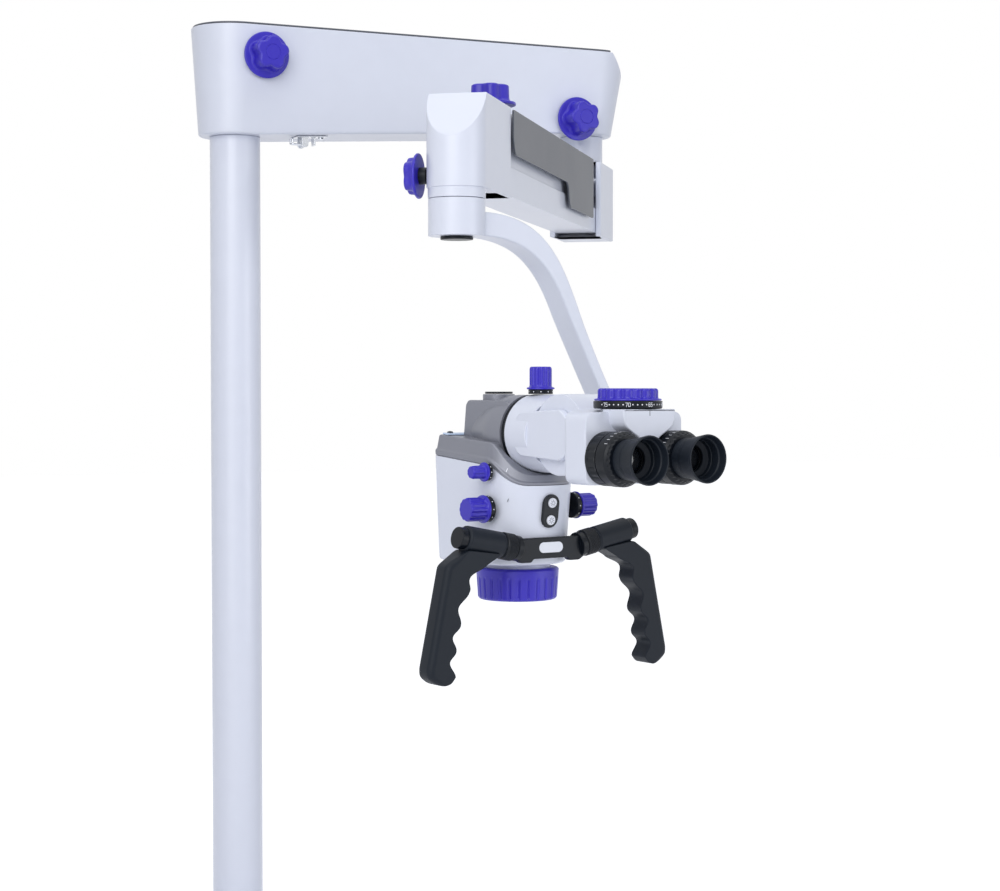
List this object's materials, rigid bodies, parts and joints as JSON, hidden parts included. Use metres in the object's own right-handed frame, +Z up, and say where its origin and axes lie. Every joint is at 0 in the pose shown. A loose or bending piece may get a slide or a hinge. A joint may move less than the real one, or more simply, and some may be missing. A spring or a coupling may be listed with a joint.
{
  "type": "operating microscope",
  "caption": "Dental or surgical microscope on a bolted-down column: swinging arm, spring-balanced parallelogram arm, S-shaped drop arm, tilting head with inclinable eyepieces and two grips.",
  "frame": {"origin": "on the column's axis, at the underside of its mounting flange", "axes": "+Z up along the column, +X along the extension arm from the column to the elbow"},
  "size_m": [0.6158, 0.9121, 1.063],
  "materials": {
    "white_paint": "semi-gloss",
    "white_casting": "painted, semi-gloss",
    "blue_knob": "satin",
    "steel": "satin",
    "black_plastic": "satin",
    "black_metal": "anodised, satin",
    "grey_cover": "satin",
    "grey_shell": "satin",
    "pale_plate": "semi-gloss",
    "rubber": "matt",
    "lens": "coated",
    "button": "satin"
  },
  "bodies": {
    "stand": {"mounting_flange": "white_paint", "column_tube": "white_paint"},
    "extension_arm": {"arm_shell": "white_casting", "arm_top_cover": "grey_cover", "latch_plate": "steel"},
    "column_lock": {"column_lock_knob": "blue_knob"},
    "elbow_lock": {"elbow_lock_knob": "blue_knob"},
    "latch": {"latch_bail": "steel"},
    "elbow": {"elbow_spindle": "white_casting", "rear_yoke": "white_casting", "rear_upper_pin": "steel", "rear_lower_pin": "steel"},
    "upper_link": {"upper_arm_shell": "white_casting", "left_cover_plate": "grey_cover", "right_cover_plate": "grey_cover", "balance_spring": "steel"},
    "lift_lock": {"lift_lock_knob": "blue_knob"},
    "lower_link": {"lower_arm_shell": "white_casting"},
    "head_carrier": {"head_block": "white_casting", "front_upper_pin": "steel", "front_lower_pin": "steel", "swivel_spindle": "black_metal"},
    "swing_lock": {"swing_lock_knob": "blue_knob"},
    "drop": {"drop_arm": "white_casting"},
    "tilt_lock": {"tilt_lock_knob": "blue_knob"},
    "microscope": {"body_shell": "white_casting", "upper_shell": "grey_shell", "rear_top_plate": "pale_plate", "port_cap": "black_plastic", "dovetail_ring": "black_metal", "tube_base": "white_casting", "switch_panel": "black_plastic", "handle_bracket": "black_metal", "objective_lens": "lens", "left_handle_spindle": "black_metal", "right_handle_spindle": "black_metal", "tilt_shaft": "steel"},
    "tube_lock": {"tube_lock_knob": "blue_knob"},
    "binocular": {"binocular_housing": "white_casting"},
    "pupil_dial": {"pd_knob": "blue_knob", "pd_dial": "black_metal"},
    "left_eyepiece": {"left_eyepiece_barrel": "black_metal", "left_ocular_lens": "lens"},
    "left_diopter": {"left_diopter_ring": "black_metal", "left_eyecup": "rubber"},
    "right_eyepiece": {"right_eyepiece_barrel": "black_metal", "right_ocular_lens": "lens"},
    "right_diopter": {"right_diopter_ring": "black_metal", "right_eyecup": "rubber"},
    "zoom": {"left_zoom_knob": "blue_knob", "right_zoom_knob": "blue_knob", "zoom_shaft": "black_metal"},
    "aperture": {"aperture_knob": "blue_knob"},
    "upper_switch": {"upper_button": "button"},
    "lower_switch": {"lower_button": "button"},
    "focus": {"focus_ring": "blue_knob"},
    "left_handle": {"left_grip": "rubber"},
    "right_handle": {"right_grip": "rubber"},
    "left_lock": {"left_lock_ring": "black_metal"},
    "right_lock": {"right_lock_ring": "black_metal"}
  },
  "joints": [
    {"name": "arm_swing", "type": "hinge", "parent": "stand", "child": "extension_arm", "pos_m": [0, 0, 0.98], "axis": [0, 0, 1], "range_deg": [-175, 175]},
    {"name": "column_lock_turn", "type": "hinge", "parent": "extension_arm", "child": "column_lock", "pos_m": [0.022, -0.06, 1.026], "axis": [0, -1, 0], "range_deg": [0, 270]},
    {"name": "elbow_lock_turn", "type": "hinge", "parent": "extension_arm", "child": "elbow_lock", "pos_m": [0.421, -0.06, 0.976], "axis": [0, -1, 0], "range_deg": [0, 270]},
    {"name": "latch_swing", "type": "hinge", "parent": "extension_arm", "child": "latch", "pos_m": [0.076, -0.02, 0.9303], "axis": [0, -1, 0], "range_deg": [0, 95]},
    {"name": "elbow_swing", "type": "hinge", "parent": "extension_arm", "child": "elbow", "pos_m": [0.45, 0, 0.98], "axis": [0, 0, 1], "range_deg": [-17, 272]},
    {"name": "arm_lift", "type": "hinge", "parent": "elbow", "child": "upper_link", "pos_m": [0.43421, -0.02065, 0.903], "axis": [-0.7944, 0.6074, 0], "range_deg": [-25, 15]},
    {"name": "lift_lock_turn", "type": "hinge", "parent": "upper_link", "child": "lift_lock", "pos_m": [0.14267, -0.40197, 0.93], "axis": [0, 0, 1], "range_deg": [0, 270]},
    {"name": "lower_link_swing", "type": "hinge", "parent": "elbow", "child": "lower_link", "pos_m": [0.43421, -0.02065, 0.86], "axis": [-0.7944, 0.6074, 0], "range_deg": [-25, 15]},
    {"name": "head_level", "type": "hinge", "parent": "upper_link", "child": "head_carrier", "pos_m": [0.10501, -0.45123, 0.903], "axis": [-0.7944, 0.6074, 0], "range_deg": [-15, 25]},
    {"name": "swing_lock_turn", "type": "hinge", "parent": "head_carrier", "child": "swing_lock", "pos_m": [0.02768, -0.48651, 0.8475], "axis": [-0.7944, 0.6074, 0], "range_deg": [0, 270]},
    {"name": "drop_arm_swing", "type": "hinge", "parent": "head_carrier", "child": "drop", "pos_m": [0.05946, -0.51081, 0.81], "axis": [0, 0, 1], "range_deg": [-150, 150]},
    {"name": "head_tilt", "type": "hinge", "parent": "drop", "child": "microscope", "pos_m": [0.18172, -0.49935, 0.578], "axis": [-0.9785, -0.2062, 0], "range_deg": [-30, 50]},
    {"name": "tilt_lock_turn", "type": "hinge", "parent": "microscope", "child": "tilt_lock", "pos_m": [0.29425, -0.47564, 0.578], "axis": [0.9785, 0.2062, 0], "range_deg": [0, 270]},
    {"name": "tube_lock_turn", "type": "hinge", "parent": "microscope", "child": "tube_lock", "pos_m": [0.10181, -0.6051, 0.65], "axis": [0, 0, 1], "range_deg": [0, 270]},
    {"name": "tube_tilt", "type": "hinge", "parent": "microscope", "child": "binocular", "pos_m": [0.11418, -0.66381, 0.606], "axis": [0.9785, 0.2062, 0], "range_deg": [-80, 20]},
    {"name": "pupil_dial_turn", "type": "hinge", "parent": "binocular", "child": "pupil_dial", "pos_m": [0.12717, -0.72546, 0.636], "axis": [0, 0, 1], "range_deg": [-82, 82]},
    {"name": "left_eyepiece_slide", "type": "slide", "parent": "binocular", "child": "left_eyepiece", "axis": [-0.9785, -0.2062, 0], "range_m": [-0.0051, 0.0051]},
    {"name": "left_diopter_turn", "type": "hinge", "parent": "left_eyepiece", "child": "left_diopter", "pos_m": [0.10197, -0.76347, 0.5875], "axis": [0.2062, -0.9785, 0], "range_deg": [-120, 120]},
    {"name": "right_eyepiece_slide", "type": "slide", "parent": "binocular", "child": "right_eyepiece", "axis": [0.9785, 0.2062, 0], "range_m": [-0.0051, 0.0051]},
    {"name": "right_diopter_turn", "type": "hinge", "parent": "right_eyepiece", "child": "right_diopter", "pos_m": [0.16557, -0.75007, 0.5875], "axis": [0.2062, -0.9785, 0], "range_deg": [-120, 120]},
    {"name": "zoom_turn", "type": "hinge", "parent": "microscope", "child": "zoom", "pos_m": [0.09851, -0.58944, 0.538], "axis": [0.9785, 0.2062, 0], "range_deg": [-120, 120]},
    {"name": "aperture_turn", "type": "hinge", "parent": "microscope", "child": "aperture", "pos_m": [0.04469, -0.60079, 0.5715], "axis": [0.9785, 0.2062, 0], "range_deg": [-135, 135]},
    {"name": "upper_button_press", "type": "slide", "parent": "microscope", "child": "upper_switch", "axis": [-0.2039, 0.9675, 0.1495], "range_m": [0, 0.001], "stiffness_N_per_m": 400},
    {"name": "lower_button_press", "type": "slide", "parent": "microscope", "child": "lower_switch", "axis": [-0.2039, 0.9675, 0.1495], "range_m": [0, 0.001], "stiffness_N_per_m": 400},
    {"name": "focus_ring_turn", "type": "hinge", "parent": "microscope", "child": "focus", "pos_m": [0.09459, -0.57085, 0.468], "axis": [0, 0, 1], "range_deg": [-150, 150]},
    {"name": "left_handle_turn", "type": "hinge", "parent": "microscope", "child": "left_handle", "pos_m": [0.06865, -0.62231, 0.5035], "axis": [-0.9605, -0.2024, 0.1908], "range_deg": [-45, 90]},
    {"name": "left_lock_ring_turn", "type": "hinge", "parent": "microscope", "child": "left_lock", "pos_m": [0.06865, -0.62231, 0.5035], "axis": [-0.9605, -0.2024, 0.1908], "range_deg": [0, 270]},
    {"name": "right_handle_turn", "type": "hinge", "parent": "microscope", "child": "right_handle", "pos_m": [0.1391, -0.60746, 0.5035], "axis": [-0.9605, -0.2024, -0.1908], "range_deg": [-45, 90]},
    {"name": "right_lock_ring_turn", "type": "hinge", "parent": "microscope", "child": "right_lock", "pos_m": [0.1391, -0.60746, 0.5035], "axis": [-0.9605, -0.2024, -0.1908], "range_deg": [0, 270]}
  ],
  "couplings": [
    {"joint": "lower_link_swing", "follows": "arm_lift", "ratio": 1},
    {"joint": "head_level", "follows": "arm_lift", "ratio": -1},
    {"joint": "left_eyepiece_slide", "follows": "pupil_dial_turn", "m_per_rad": 0.0034936},
    {"joint": "right_eyepiece_slide", "follows": "pupil_dial_turn", "m_per_rad": 0.0034936}
  ]
}
